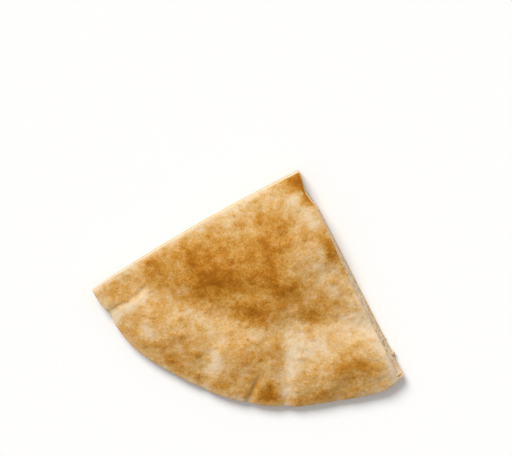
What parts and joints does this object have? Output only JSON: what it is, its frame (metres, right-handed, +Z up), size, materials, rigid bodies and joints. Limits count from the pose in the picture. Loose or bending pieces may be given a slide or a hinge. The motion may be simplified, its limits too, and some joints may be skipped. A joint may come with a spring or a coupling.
{
  "type": "quarter of a pita bread",
  "caption": "Knife-cut wedge of a round pocket flatbread: browned, bubbled crust, thin baked rim, pale crumb and a narrow pocket at the cuts. Rests flat.",
  "frame": {"origin": "middle of the bounding box at its base, on the surface that the bread rests on", "axes": "+Z up from the flat base, the cut tip along +Y, the baked rim facing -Y, the two cut faces facing +X and -X"},
  "size_m": [0.1154, 0.0858, 0.0102],
  "materials": {
    "crust": "dry, matt baked crust, golden with toasted brown patches and pale floury ones",
    "crumb": "dry, open cream crumb at the knife cuts, full of small pores"
  },
  "bodies": {
    "root": {"pita_quarter": "crust"}
  },
  "joints": []
}
